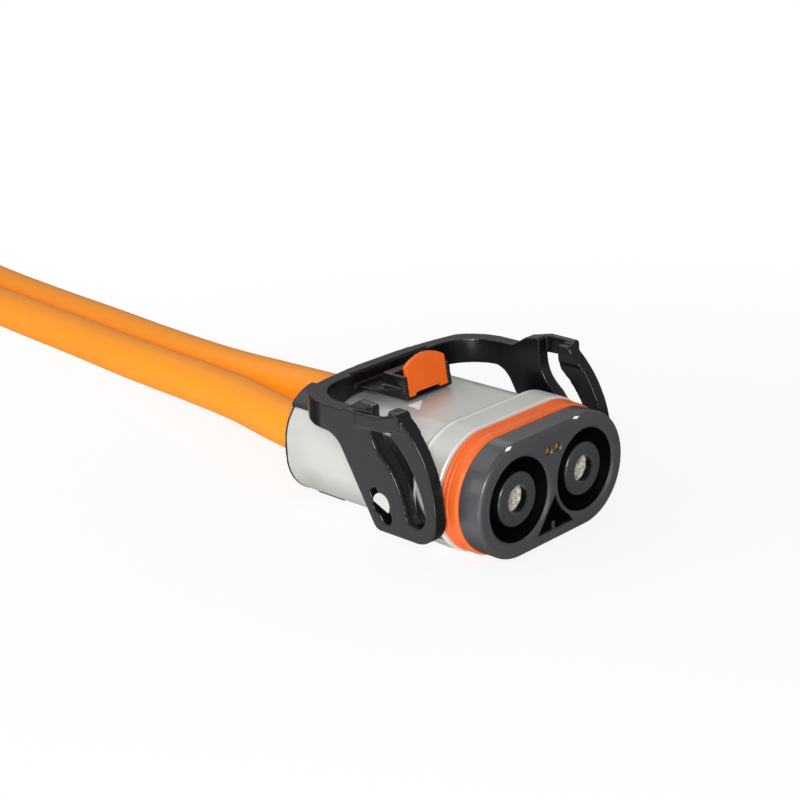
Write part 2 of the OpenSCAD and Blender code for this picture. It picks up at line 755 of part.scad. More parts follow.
module cable(s, points, end) {
  p = spline(route(s, points, end), tube_steps);
  n = len(p);
  m = tube_sides;
  color("#ff9d33") polyhedron(
    points = [for (i = [0:n - 1]) each ring(p, i)],
    faces = concat(
      [[for (k = [0:m - 1]) k]],
      [for (i = [0:n - 2], k = [0:m - 1]) each let (a = i*m + k, b = i*m + (k + 1)%m)
        [[a, a + m, b], [b, a + m, b + m]]],
      [[for (k = [m - 1:-1:0]) (n - 1)*m + k]]));
}

// Heat-shrink boot over the end of the jacket and the lug's barrel
module boot(end) {
  color("#232325") translate(end) rotate([0, 90, 0]) rotate_extrude() polygon([
    [cable_r + 0.05, 0], [cable_r + 0.05, boot_on_cable], [boot_r, boot_on_cable], [boot_r, 1],
    [lug_r + boot_wall, -5], [lug_r + boot_wall, -boot_past_cable], [lug_r + 0.05, -boot_past_cable],
    [lug_r + 0.05, 0]]);
}

// Crimped ring lug: barrel, flattened neck and a round palm with a bolt hole
module lug(end) {
  neck_x = -lug_barrel_len;
  palm_x = neck_x - lug_neck_len;
  eye_x = palm_x - lug_palm_w/2;
  color("#c4c3bf") translate(end) difference() {
    union() {
      rod(neck_x, 0, lug_r);
      intersection() {
        facing_y(lug_palm_w/2) linear_extrude(lug_palm_w) polygon([
          [neck_x + 1, -lug_r], [neck_x + 1, lug_r - 1], [palm_x, lug_palm_t - lug_r],
          [eye_x - lug_palm_w, lug_palm_t - lug_r], [eye_x - lug_palm_w, -lug_r]]);
        translate([0, 0, -lug_r - 1]) linear_extrude(2*lug_r + 2) {
          polygon([[neck_x + 1, -lug_r], [neck_x + 1, lug_r], [palm_x, lug_palm_w/2], [eye_x, lug_palm_w/2],
            [eye_x, -lug_palm_w/2], [palm_x, -lug_palm_w/2]]);
          translate([eye_x, 0]) circle(lug_palm_w/2);
        }
      }
    }
    translate([eye_x, 0, -lug_r - 1]) cylinder(h = 2*lug_r + 2, d = lug_hole_d);
  }
}

housing();
front_shroud();
terminal_housing();
contact_retainer();
perimeter_seal();
hvil_carrier();
hvil_shunt();
contact(1);  // contact_left
contact(-1);  // contact_right
contact_spring(1);  // contact_spring_left
contact_spring(-1);  // contact_spring_right
cable_core(1);  // cable_core_left
cable_core(-1);  // cable_core_right
shield_ferrule(1);  // shield_ferrule_left
shield_ferrule(-1);  // shield_ferrule_right
shield_spring(1);  // shield_spring_left
shield_spring(-1);  // shield_spring_right
cable_seal(1);  // cable_seal_left
cable_seal(-1);  // cable_seal_right
rear_cap();
lever();
lock_button();
cable(1, route_left, end_left);  // cable_left
cable(-1, route_right, end_right);  // cable_right
boot(end_left);  // boot_left
boot(end_right);  // boot_right
lug(end_left);  // lug_left
lug(end_right);  // lug_right
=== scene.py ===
import math

import bmesh
import bpy
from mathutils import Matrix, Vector


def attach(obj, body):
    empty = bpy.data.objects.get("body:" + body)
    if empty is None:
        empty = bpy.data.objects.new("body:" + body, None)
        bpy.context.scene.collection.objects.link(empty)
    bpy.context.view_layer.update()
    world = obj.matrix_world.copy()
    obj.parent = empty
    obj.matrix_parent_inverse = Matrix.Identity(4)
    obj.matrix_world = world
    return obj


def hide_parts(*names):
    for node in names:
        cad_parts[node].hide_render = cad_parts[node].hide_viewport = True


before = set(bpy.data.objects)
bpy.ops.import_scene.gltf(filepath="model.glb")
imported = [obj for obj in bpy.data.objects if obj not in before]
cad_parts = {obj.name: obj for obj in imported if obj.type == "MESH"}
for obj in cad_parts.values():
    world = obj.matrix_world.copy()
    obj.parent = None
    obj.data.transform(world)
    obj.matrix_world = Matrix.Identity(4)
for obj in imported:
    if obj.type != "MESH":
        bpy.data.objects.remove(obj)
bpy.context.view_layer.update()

# Studio: the plug lies on a white table under soft lights, as in a catalogue picture.
# The table glows for the camera and keeps a faint shadow round the plug. Mirrored, it
# is bright on the left and in one hot spot in front, which edges black plastic in light.

# Sizes written with MM are in metres, as Blender takes them, and plain ones in millimetres.
# The camera's turn is in degrees.
MM = 0.001
CAMERA_PLACE = (368.193 * MM, -447.040 * MM, 240.436 * MM)
CAMERA_TURN = (70.2702, 2.2062, 43.8994)
LENS = 80.362
SENSOR_WIDTH = 36
NEAREST_SEEN = 10 * MM

scene = bpy.context.scene
scene.view_settings.view_transform = "Standard"
camera = bpy.data.objects.new("camera", bpy.data.cameras.new("camera"))
camera.location = CAMERA_PLACE
camera.rotation_euler = [math.radians(a) for a in CAMERA_TURN]
camera.data.lens = LENS
camera.data.sensor_width = SENSOR_WIDTH
camera.data.clip_start = NEAREST_SEEN
scene.collection.objects.link(camera)
scene.camera = camera


def add(tree, kind, inputs=None, **settings):
    """Adds a node with its settings; each input is a value or a socket to link from."""
    node = tree.nodes.new(kind)
    for name, value in settings.items():
        setattr(node, name, value)
    for name, value in (inputs or {}).items():
        if isinstance(value, bpy.types.NodeSocket):
            tree.links.new(value, node.inputs[name])
        else:
            node.inputs[name].default_value = value
    return node


def by_ray(tree, camera, mirrored, carried):
    """One value for camera rays, one for mirrored rays and one for rays that carry light."""
    path = add(tree, "ShaderNodeLightPath")
    glossy = add(tree, "ShaderNodeMath",
                 {0: path.outputs["Is Glossy Ray"], 1: path.outputs["Is Transmission Ray"]},
                 operation="ADD", use_clamp=True)
    other = add(tree, "ShaderNodeMix", {"Factor": glossy.outputs[0], "A": carried, "B": mirrored})
    return add(tree, "ShaderNodeMix",
               {"Factor": path.outputs["Is Camera Ray"], "A": other.outputs[0], "B": camera}).outputs[0]


# The room is plain white for the camera, and dim in mirrors and as a light
ROOM_MIRRORED = 0.3
ROOM_LIGHT = 0.3
world = bpy.data.worlds.new("white room")
world.use_nodes = True
tree = world.node_tree
tree.nodes.clear()
white = add(tree, "ShaderNodeBackground",
            {"Color": (1, 1, 1, 1), "Strength": by_ray(tree, 1.0, ROOM_MIRRORED, ROOM_LIGHT)})
add(tree, "ShaderNodeOutputWorld", {0: white.outputs[0]})
scene.world = world

# Each softbox: place, aim, width and height in metres, and power in watts
SOFTBOXES = {
    "top": ((-0.5, -0.1, 0.5), (-0.3, 0, 0), 0.5, 0.4, 0.75),
    "left": ((-0.45, -0.95, 0.5), (-0.05, 0, 0), 0.6, 0.5, 2.5),
    "key": ((0.5, -0.62, 0.36), (-0.03, 0, 0), 0.25, 0.25, 6.2),
    "behind": ((-0.7, 0.66, 0.75), (-0.05, 0, 0), 0.5, 0.3, 0.8),
}
for name, (place, aim, width, height, power) in SOFTBOXES.items():
    lamp = bpy.data.lights.new(name, "AREA")
    lamp.shape = "RECTANGLE"
    lamp.size = width
    lamp.size_y = height
    lamp.energy = power
    softbox = bpy.data.objects.new(name, lamp)
    softbox.location = place
    softbox.rotation_euler = (Vector(aim) - Vector(place)).to_track_quat("-Z", "Y").to_euler()
    scene.collection.objects.link(softbox)

# The table: white paint that glows. Its fill is the light that it throws back on the
# plug's shaded sides. The shadow on it is faint and fades out from near the plug.
TABLE_Z = -22.9 * MM
TABLE_HALF = 6000 * MM
TABLE_PAINT = 0.93
TABLE_FILL = 3.0
FILL_SHARE = 0.2
SHADOW = 0.15
SHADOW_START = 120 * MM
SHADOW_END = 400 * MM
# What mirrors see: a bright strip, full up to the first limit and gone at the second
STRIP = 0.95
STRIP_SIDE = (-55 * MM, -35 * MM)
STRIP_BACK = (20 * MM, 35 * MM)
STRIP_SLANT = 0.75
DARK_TABLE = 0.08
HOT_SPOT = 5.0
HOT_SPOT_PLACE = (40 * MM, -130 * MM, TABLE_Z)
HOT_SPOT_R = 50 * MM

corners = [(x * TABLE_HALF, y * TABLE_HALF, TABLE_Z) for x, y in ((-1, -1), (1, -1), (1, 1), (-1, 1))]
mesh = bpy.data.meshes.new("table")
mesh.from_pydata(corners, [], [(0, 1, 2, 3)])
table = bpy.data.objects.new("table", mesh)
scene.collection.objects.link(table)
paint = bpy.data.materials.new("white table")
paint.use_nodes = True
tree = paint.node_tree
tree.nodes.clear()
place = add(tree, "ShaderNodeTexCoord").outputs["Object"]
axes = add(tree, "ShaderNodeSeparateXYZ", {0: place}).outputs
slanted = add(tree, "ShaderNodeMath", {0: axes["X"], 1: -STRIP_SLANT, 2: axes["Y"]},
              operation="MULTIPLY_ADD").outputs[0]
strip = STRIP
for across, (full, gone) in ((axes["Y"], STRIP_SIDE), (slanted, STRIP_BACK)):
    within = add(tree, "ShaderNodeMapRange", {"Value": across, "From Min": full, "From Max": gone,
                                              "To Min": 1.0, "To Max": 0.0}).outputs[0]
    strip = add(tree, "ShaderNodeMath", {0: strip, 1: within}, operation="MULTIPLY").outputs[0]
strip = add(tree, "ShaderNodeMath", {0: strip, 1: DARK_TABLE}, operation="ADD").outputs[0]
away = add(tree, "ShaderNodeVectorMath", {0: place, 1: HOT_SPOT_PLACE},
           operation="DISTANCE").outputs["Value"]
spot = add(tree, "ShaderNodeMapRange", {"Value": away, "From Min": HOT_SPOT_R / 2, "From Max": HOT_SPOT_R,
                                        "To Min": HOT_SPOT, "To Max": 0.0}).outputs[0]
mirrored = add(tree, "ShaderNodeMath", {0: strip, 1: spot}, operation="ADD").outputs[0]
glow = add(tree, "ShaderNodeEmission",
           {"Color": (1, 1, 1, 1), "Strength": by_ray(tree, 1.0, mirrored, TABLE_FILL)}).outputs[0]
matt = add(tree, "ShaderNodeBsdfDiffuse", {"Color": (TABLE_PAINT, TABLE_PAINT, TABLE_PAINT, 1)}).outputs[0]
away = add(tree, "ShaderNodeVectorMath", {0: place}, operation="LENGTH").outputs["Value"]
share = add(tree, "ShaderNodeMapRange", {"Value": away, "From Min": SHADOW_START, "From Max": SHADOW_END,
                                         "To Min": 1 - SHADOW, "To Max": 1.0}).outputs[0]
mix = add(tree, "ShaderNodeMixShader", {0: by_ray(tree, share, 1.0, FILL_SHARE), 1: matt, 2: glow})
add(tree, "ShaderNodeOutputMaterial", {0: mix.outputs[0]})
mesh.materials.append(paint)

# Cables: two shielded leads with an extruded orange silicone rubber jacket,
# 18.5 mm thick and half a metre long. They leave the rear cap side by side,
# sink to the table and lie there in one long shallow bend.
CABLE_R = 9.25 * MM
CABLE_SIDES = 48
CAP_BACK = -100.5
JACKET_START = -76.5
HALF_PITCH = 18
# Which way along Y each cable lies
SIDE = {"left": 1, "right": -1}
# Each route's points, and the jacket's end inside the shrunk sleeve
ROUTES = {
    "left": [(-125, 17.8, -0.6), (-160, 18.4, -1.9), (-200, 21, -4),
             (-250, 28.3, -6.5), (-300, 37.3, -9), (-350, 45.5, -11.3),
             (-400, 53, -12.8), (-445, 60, -13.5), (-485, 65.6, -13.3)],
    "right": [(-125, -14, -0.6), (-160, -5.5, -1.9), (-200, 1.7, -4),
              (-250, 9.1, -6.5), (-300, 18, -9), (-350, 26, -11.3),
              (-400, 33, -12.8), (-445, 37.9, -13.5), (-485, 40.7, -13.3)],
}
CABLE_END = {"left": Vector((-572, 68.5, -12.5)), "right": Vector((-572, 41.5, -12.5))}
BOOT_ON_CABLE = 26
STRAIGHT_END = BOOT_ON_CABLE + 1
CURVE_STEPS = 8
# The jacket's drawn lines: nine in one cable radius, so each is 1 mm wide, and 54 in a
# metre along the cable
DIE_LINES = 9.0
DIE_LINES_ALONG = 54 / DIE_LINES


def linear(colour):
    """Turns an sRGB hex colour into the linear one that the shaders take."""
    parts = [int(colour[i:i + 2], 16) / 255 for i in (1, 3, 5)]
    return (*[c / 12.92 if c <= 0.04045 else ((c + 0.055) / 1.055) ** 2.4 for c in parts], 1)


def new_material(name, roughness, metallic=0.0, **sockets):
    """A material with one shader; the named sockets are set on it."""
    material = bpy.data.materials.new(name)
    material.use_nodes = True
    shader = material.node_tree.nodes["Principled BSDF"]
    shader.inputs["Roughness"].default_value = roughness
    shader.inputs["Metallic"].default_value = metallic
    for label, value in sockets.items():
        shader.inputs[label.replace("_", " ")].default_value = value
    return material, material.node_tree, shader


def rubber_jacket():
    """Extruded silicone rubber: satin, with faint drawn lines along the cable from the die."""
    material, tree, shader = new_material("extruded silicone rubber, orange", roughness=0.4, IOR=1.43)
    around = add(tree, "ShaderNodeAttribute", attribute_name="around").outputs["Fac"]
    along = add(tree, "ShaderNodeAttribute", attribute_name="along").outputs["Fac"]
    across = add(tree, "ShaderNodeMath", {0: around}, operation="SINE").outputs[0]
    up = add(tree, "ShaderNodeMath", {0: around}, operation="COSINE").outputs[0]
    along = add(tree, "ShaderNodeMath", {0: along, 1: DIE_LINES_ALONG}, operation="MULTIPLY").outputs[0]
    place = add(tree, "ShaderNodeCombineXYZ", {0: across, 1: up, 2: along}).outputs[0]
    lines = add(tree, "ShaderNodeTexNoise",
                {"Vector": place, "Scale": DIE_LINES, "Detail": 4.0}).outputs["Fac"]
    tone = add(tree, "ShaderNodeMix", {"Factor": lines, "A": linear("#ff9410"), "B": linear("#ffa020")},
               data_type="RGBA")
    tree.links.new(tone.outputs["Result"], shader.inputs["Base Color"])
    rough = add(tree, "ShaderNodeMapRange", {"Value": lines, "To Min": 0.34, "To Max": 0.46})
    tree.links.new(rough.outputs[0], shader.inputs["Roughness"])
    bump = add(tree, "ShaderNodeBump", {"Height": lines, "Strength": 0.25, "Distance": 0.15 * MM})
    tree.links.new(bump.outputs[0], shader.inputs["Normal"])
    return material


def smooth_line(points, steps):
    """Points of a smooth curve through the given ones."""
    line = []
    last = len(points) - 1
    for i in range(last):
        a, b, c, d = (Vector(points[j]) for j in (max(i - 1, 0), i, i + 1, min(i + 2, last)))
        for k in range(steps):
            t = k / steps
            line.append(0.5 * (2 * b + (c - a) * t + (2 * a - 5 * b + 4 * c - d) * t * t
                               + (3 * b - a - 3 * c + d) * t * t * t))
    return line + [Vector(points[last])]


def cable_line(side):
    """The middle of a jacket in metres, from where it is stripped inside the shell to its far end."""
    y = SIDE[side] * HALF_PITCH
    end = CABLE_END[side]
    points = [(JACKET_START, y, 0), ((JACKET_START + CAP_BACK) / 2, y, 0), (CAP_BACK, y, 0), *ROUTES[side],
              end + Vector((2 * STRAIGHT_END, 0, 0)), end + Vector((STRAIGHT_END, 0, 0)), end]
    return [p * MM for p in smooth_line(points, CURVE_STEPS)]


def new_object(name, mesh):
    """A piece with that mesh, at the origin."""
    obj = bpy.data.objects.new(name, mesh)
    bpy.context.collection.objects.link(obj)
    return obj


def node_group(name, sizes):
    """An empty Geometry Nodes tree with its geometry sockets and named sizes."""
    tree = bpy.data.node_groups.new(name, "GeometryNodeTree")
    tree.interface.new_socket("Geometry", in_out="INPUT", socket_type="NodeSocketGeometry")
    for label, value in sizes.items():
        kind = "NodeSocketInt" if isinstance(value, int) else "NodeSocketFloat"
        socket = tree.interface.new_socket(label, in_out="INPUT", socket_type=kind)
        socket.default_value = value
    tree.interface.new_socket("Geometry", in_out="OUTPUT", socket_type="NodeSocketGeometry")
    return tree, add(tree, "NodeGroupInput").outputs


def cable_tree(material):
    """Sweeps a circle along a line of edges and notes each point's way along and round it."""
    tree, given = node_group("cable along its line", {"Radius": CABLE_R, "Sides": CABLE_SIDES})
    line = add(tree, "GeometryNodeMeshToCurve", {0: given["Geometry"]})
    length = add(tree, "GeometryNodeSplineParameter")
    line = add(tree, "GeometryNodeStoreNamedAttribute",
               {"Geometry": line.outputs[0], "Name": "along", "Value": length.outputs["Length"]},
               data_type="FLOAT", domain="POINT")
    ring = add(tree, "GeometryNodeCurvePrimitiveCircle",
               {"Resolution": given["Sides"], "Radius": given["Radius"]})
    turn = add(tree, "ShaderNodeMath", {0: length.outputs["Factor"], 1: math.tau}, operation="MULTIPLY")
    ring = add(tree, "GeometryNodeStoreNamedAttribute",
               {"Geometry": ring.outputs[0], "Name": "around", "Value": turn.outputs[0]},
               data_type="FLOAT", domain="POINT")
    tube = add(tree, "GeometryNodeCurveToMesh",
               {"Curve": line.outputs[0], "Profile Curve": ring.outputs[0], "Fill Caps": True})
    whole = add(tree, "GeometryNodeRealizeInstances", {0: tube.outputs[0]})
    coloured = add(tree, "GeometryNodeSetMaterial", {"Geometry": whole.outputs[0], "Material": material})
    add(tree, "NodeGroupOutput", {0: coloured.outputs[0]})
    return tree


def grown(name, mesh, tree, **sizes):
    """The plain mesh that a Geometry Nodes tree makes from a starting mesh and sizes."""
    start = new_object(name + "_start", mesh)
    modifier = start.modifiers.new("grow", "NODES")
    modifier.node_group = tree
    for item in tree.interface.items_tree:
        if item.in_out == "INPUT" and item.name in sizes:
            modifier[item.identifier] = sizes[item.name]
    bpy.context.view_layer.update()
    ready = start.evaluated_get(bpy.context.evaluated_depsgraph_get())
    made = bpy.data.meshes.new_from_object(ready)
    bpy.data.objects.remove(start)
    made.name = name
    return new_object(name, made)


def soften(mesh, angle=32):
    """Shades curved faces smooth and keeps the edges sharper than the angle, in degrees."""
    mesh.shade_smooth()
    mesh.set_sharp_from_angle(angle=math.radians(angle))


cable_sweep = cable_tree(rubber_jacket())
cables = {}
for side in SIDE:
    line = cable_line(side)
    start = bpy.data.meshes.new("cable_line")
    start.from_pydata(line, [(i, i + 1) for i in range(len(line) - 1)], [])
    cable = grown("jacket_" + side, start, cable_sweep, Radius=CABLE_R)
    soften(cable.data, angle=40)
    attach(cable, "plug")
    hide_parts("cable_" + side)
    cables[side] = (cable, line)

# Cable ends: each jacket and lug barrel is wrapped in a black polyolefin sleeve,
# shrunk on with hot air, so it hugs the step between them and ripples a little.
# The lug is a pressed copper tube with a flat tinned palm.
BOOT_R = 10.35
LUG_SLEEVE_R = 9.1
BOOT_WALL = 1.05
BOOT_PAST_CABLE = 20
SLEEVE_STEPS = 46
SLEEVE_SIDES = 64
# Where the sleeve falls from the jacket to the lug, and how far its cut ends are rounded
STEP_START = 1.5
STEP_LENGTH = 7
LIP_LENGTH = 0.35
LIP_DEPTH = 0.45
# Ripples along the sleeve: their depth, and the turn per millimetre of two waves that mix
RIPPLE = 0.05
FINE_RIPPLE = 2.1
LONG_RIPPLE = 0.83
# Waves round the sleeve: share of its radius, number, and turn per millimetre along it
WAVES = ((0.003, 3, 0.21), (0.002, 7, -0.4))


def packed(node, piece):
    """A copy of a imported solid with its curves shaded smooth, which stands for it."""
    shape = bmesh.new()
    shape.from_mesh(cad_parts[node].data)
    bmesh.ops.remove_doubles(shape, verts=shape.verts, dist=0.002 * MM)
    mesh = bpy.data.meshes.new(piece)
    shape.to_mesh(mesh)
    shape.free()
    if "custom_normal" in mesh.attributes:
        mesh.attributes.remove(mesh.attributes["custom_normal"])
    soften(mesh)
    obj = new_object(piece, mesh)
    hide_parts(node)
    return obj


def moulded(node, piece, cell, rounds):
    """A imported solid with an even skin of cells, in millimetres, and edges rubbed round as in a mould."""
    obj = packed(node, piece)
    skin = obj.modifiers.new("even skin", "REMESH")
    skin.mode = "VOXEL"
    skin.voxel_size = cell * MM
    skin.use_smooth_shade = True
    rub = obj.modifiers.new("soft edges", "SMOOTH")
    rub.factor = 0.5
    rub.iterations = rounds
    ready = obj.evaluated_get(bpy.context.evaluated_depsgraph_get())
    mesh = bpy.data.meshes.new_from_object(ready)
    obj.modifiers.clear()
    obj.data = mesh
    return obj


def finish(obj, body, material):
    """Gives a piece its body and material."""
    obj.data.materials.clear()
    obj.data.materials.append(material)
    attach(obj, body)
    return obj


def grained(name, dark, light, roughness, grain, depth, cloud=9, metallic=0.0, spread=0.06, **sockets):
    """A fine even grain with soft clouds of tone; grain, depth and cloud are in millimetres.

    The real grain is less than a tenth of a millimetre wide and is drawn coarser, so that it shows.
    """
    material, tree, shader = new_material(name, roughness, metallic, **sockets)
    place = add(tree, "ShaderNodeTexCoord").outputs["Object"]
    clouds = add(tree, "ShaderNodeTexNoise",
                 {"Vector": place, "Scale": 1 / (cloud * MM), "Detail": 3.0}).outputs["Fac"]
    fine = add(tree, "ShaderNodeTexNoise",
               {"Vector": place, "Scale": 1 / (grain * MM), "Detail": 2.0}).outputs["Fac"]
    tone = add(tree, "ShaderNodeMix", {"Factor": clouds, "A": linear(dark), "B": linear(light)},
               data_type="RGBA")
    tree.links.new(tone.outputs["Result"], shader.inputs["Base Color"])
    rough = add(tree, "ShaderNodeMapRange", {"Value": clouds, "From Min": 0.3, "From Max": 0.7,
                                             "To Min": roughness - spread, "To Max": roughness + spread})
    tree.links.new(rough.outputs[0], shader.inputs["Roughness"])
    bump = add(tree, "ShaderNodeBump", {"Height": fine, "Strength": 0.6, "Distance": depth * MM})
    tree.links.new(bump.outputs[0], shader.inputs["Normal"])
    return material


def sleeve(side):
    """A shrunk sleeve turned from its wall's section, with shallow uneven ripples."""
    outer = []
    for k in range(SLEEVE_STEPS + 1):
        x = BOOT_ON_CABLE - (BOOT_ON_CABLE + BOOT_PAST_CABLE) * k / SLEEVE_STEPS
        fall = min(max((STEP_START - x) / STEP_LENGTH, 0), 1)
        fall = fall * fall * (3 - 2 * fall)
        r = BOOT_R + (LUG_SLEEVE_R - BOOT_R) * fall
        r -= RIPPLE * (1 + math.sin(FINE_RIPPLE * x) * math.sin(LONG_RIPPLE * x + 1))
        outer.append((x, r))
    inner = [(x, r - BOOT_WALL) for x, r in reversed(outer)]
    first_x, first_r = outer[0]
    last_x, last_r = outer[-1]
    section = [(first_x + LIP_LENGTH, first_r - LIP_DEPTH), *outer,
               (last_x - LIP_LENGTH, last_r - LIP_DEPTH), *inner]
    end = CABLE_END[side]
    shape = bmesh.new()
    rings = []
    for x, r in section:
        ring = []
        for i in range(SLEEVE_SIDES):
            turn = math.tau * i / SLEEVE_SIDES
            swell = sum(share * math.sin(count * turn + drift * x) for share, count, drift in WAVES)
            reach = r * (1 + swell)
            point = end + Vector((x, reach * math.cos(turn), reach * math.sin(turn)))
            ring.append(shape.verts.new(point * MM))
        rings.append(ring)
    for one, two in zip(rings, rings[1:] + rings[:1]):
        for i in range(SLEEVE_SIDES):
            after = (i + 1) % SLEEVE_SIDES
            shape.faces.new((one[i], one[after], two[after], two[i]))
    bmesh.ops.recalc_face_normals(shape, faces=shape.faces)
    mesh = bpy.data.meshes.new("shrink_sleeve_" + side)
    shape.to_mesh(mesh)
    shape.free()
    soften(mesh, angle=50)
    return new_object("shrink_sleeve_" + side, mesh)


# Shrunk polyolefin: dull black with a slightly waxy, uneven skin
shrunk_sleeve = grained("heat-shrunk polyolefin, black", "#1c1c1e", "#29292b",
                        roughness=0.52, grain=0.7, depth=0.05, cloud=5)
# Tinned copper: soft grey metal, a little cloudy, smooth from the press
tinned = grained("tinned copper, pressed", "#b9b8b4", "#d0cfcb",
                 roughness=0.34, grain=0.5, depth=0.01, cloud=4, metallic=1.0)
for side in SIDE:
    boot = finish(sleeve(side), "plug", shrunk_sleeve)
    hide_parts("boot_" + side)
    lug = moulded("lug_" + side, "ring_lug_" + side, cell=0.5, rounds=2)
    finish(lug, "plug", tinned)
    cable, line = cables[side]

# Shell: pressure die-cast aluminium, shot-blasted to an even satin grey. The
# collar behind the seal, the pivot studs and the latch hooks are cast on it.
# Blasting leaves tiny pits that spread the light, with no brush lines.
cast = grained("die-cast aluminium, shot-blasted", "#c6c7c2", "#d6d6d1",
               roughness=0.42, grain=0.45, depth=0.03, cloud=14, metallic=0.35)
tree = cast.node_tree
shader = tree.nodes["Principled BSDF"]
place = add(tree, "ShaderNodeTexCoord").outputs["Object"]
axes = add(tree, "ShaderNodeSeparateXYZ", {0: place}).outputs


def band(tree, value, middle, reach, edge):
    """1 round the middle and 0 from reach on, with a soft edge; sizes are in millimetres."""
    off = add(tree, "ShaderNodeMath", {0: value, 1: middle * MM}, operation="SUBTRACT").outputs[0]
    off = add(tree, "ShaderNodeMath", {0: off}, operation="ABSOLUTE").outputs[0]
    return add(tree, "ShaderNodeMapRange", {"Value": off, "From Min": (reach - edge) * MM,
                                            "From Max": reach * MM, "To Min": 1.0, "To Max": 0.0}).outputs[0]


# Painted shade and reflection: each flank is painted near black, in mottled patches, where
# the lever's arms pass close over it. Its ends lean back going up, so that the closed lever covers them.
FLANK_SHADE_LEAN = 0.5
FLANK_SHADE_MOTTLE = 2.2
# The painted shade's middle, reach and soft edge along the flank, outward from the plug's middle, and up
FLANK_SHADE_ALONG = (-38.3, 13.4, 1.5)
FLANK_SHADE_OUTWARD = (37.0, 7.5, 0.5)
FLANK_SHADE_UP = (2.2, 16.3, 1.0)
lengthwise = add(tree, "ShaderNodeMath", {0: axes["Z"], 1: FLANK_SHADE_LEAN, 2: axes["X"]},
                 operation="MULTIPLY_ADD").outputs[0]
outward = add(tree, "ShaderNodeMath", {0: axes["Y"]}, operation="ABSOLUTE").outputs[0]
flank_shade = 1.0
for value, limits in ((lengthwise, FLANK_SHADE_ALONG), (outward, FLANK_SHADE_OUTWARD), (axes["Z"], FLANK_SHADE_UP)):
    within = band(tree, value, *limits)
    flank_shade = add(tree, "ShaderNodeMath", {0: flank_shade, 1: within}, operation="MULTIPLY").outputs[0]
patches = add(tree, "ShaderNodeTexNoise",
              {"Vector": place, "Scale": 1 / (FLANK_SHADE_MOTTLE * MM), "Detail": 4.0}).outputs["Fac"]
black = add(tree, "ShaderNodeMix", {"Factor": patches, "A": linear("#0c0c0d"), "B": linear("#3c3c3d")},
            data_type="RGBA").outputs["Result"]
bare = shader.inputs["Base Color"].links[0].from_socket
# Mix the painted shade over the bare cast colour
tone = add(tree, "ShaderNodeMix", {"Factor": flank_shade, "A": bare, "B": black},
           data_type="RGBA").outputs["Result"]

# The collar's two rounded rims get painted highlights: thin pale lines in the colour, as if
# they caught the light. Each has its place along X, its reach and its soft edge.
BACK_RIM_HIGHLIGHT = (-28.1, 0.8, 0.48)
FRONT_RIM_HIGHLIGHT = (-17.9, 0.45, 0.27)
rim_highlights = 0.0
for limits in (BACK_RIM_HIGHLIGHT, FRONT_RIM_HIGHLIGHT):
    within = band(tree, axes["X"], *limits)
    rim_highlights = add(tree, "ShaderNodeMath", {0: rim_highlights, 1: within}, operation="MAXIMUM").outputs[0]
# Painted highlight on the rims
tone = add(tree, "ShaderNodeMix", {"Factor": rim_highlights, "A": tone, "B": linear("#ecece8")},
           data_type="RGBA").outputs["Result"]
tree.links.new(tone, shader.inputs["Base Color"])
finish(packed("housing", "cast_shell"), "plug", cast)

# Face block and insulator: glass-filled polyester moulded dark grey, and glass-
# filled nylon moulded black. Both come from spark-eroded moulds, which gives a
# fine satin grain. Inside the cavities their colour is painted near black, as painted shade.
CAVITY_R = 15.6
TOWER_R = 12
BORE_R = 1.8
BORE_Y = 2.5
BORE_Z = 13.3
# The key recess's limits along X, Y and Z, and how far back the painted shade starts
KEY_RECESS = ((-20, 0), (-10, 11.4), (-17.3, -1.9))
FACE_SHADE_START = -0.9
TOWER_SHADE_START = -2.0


def shaded(material, colour, rods, boxes, front):
    """Paints shade: darkens what lies behind the front, inside rods along X or boxes; sizes are in
    millimetres.
    """
    tree = material.node_tree
    given = tree.nodes["Principled BSDF"].inputs["Base Color"]
    place = add(tree, "ShaderNodeTexCoord").outputs["Object"]
    axes = add(tree, "ShaderNodeSeparateXYZ", {0: place}).outputs
    inside = 0.0
    for y, z, radius in rods:
        spoke = add(tree, "ShaderNodeCombineXYZ", {0: axes["Y"], 1: axes["Z"]}).outputs[0]
        away = add(tree, "ShaderNodeVectorMath", {0: spoke, 1: (y * MM, z * MM, 0)},
                   operation="DISTANCE").outputs["Value"]
        within = add(tree, "ShaderNodeMath", {0: away, 1: radius * MM}, operation="LESS_THAN").outputs[0]
        inside = add(tree, "ShaderNodeMath", {0: inside, 1: within}, operation="MAXIMUM").outputs[0]
    for limits in boxes:
        within = 1.0
        for axis, (low, high) in zip("XYZ", limits):
            one = add(tree, "ShaderNodeMath",
                      {0: axes[axis], 1: (low + high) / 2 * MM, 2: (high - low) / 2 * MM},
                      operation="COMPARE").outputs[0]
            within = add(tree, "ShaderNodeMath", {0: within, 1: one}, operation="MULTIPLY").outputs[0]
        inside = add(tree, "ShaderNodeMath", {0: inside, 1: within}, operation="MAXIMUM").outputs[0]
    behind = add(tree, "ShaderNodeMath", {0: axes["X"], 1: front * MM}, operation="LESS_THAN").outputs[0]
    inside = add(tree, "ShaderNodeMath", {0: inside, 1: behind}, operation="MULTIPLY").outputs[0]
    dark = add(tree, "ShaderNodeMix",
               {"Factor": inside, "A": given.links[0].from_socket, "B": linear(colour)}, data_type="RGBA")
    tree.links.new(dark.outputs["Result"], given)


# The polyester has a thin glossy skin over its grain, the nylon a smoother one
grey_moulding = grained("glass-filled polyester, moulded dark grey", "#393a3d", "#424346", roughness=0.36,
                        grain=0.35, depth=0.015, cloud=12, Coat_Weight=0.2, Coat_Roughness=0.12)
cavities = [(side * HALF_PITCH, 0, CAVITY_R) for side in (-1, 1)]
bores = [(side * BORE_Y, BORE_Z, BORE_R) for side in (-1, 1)]
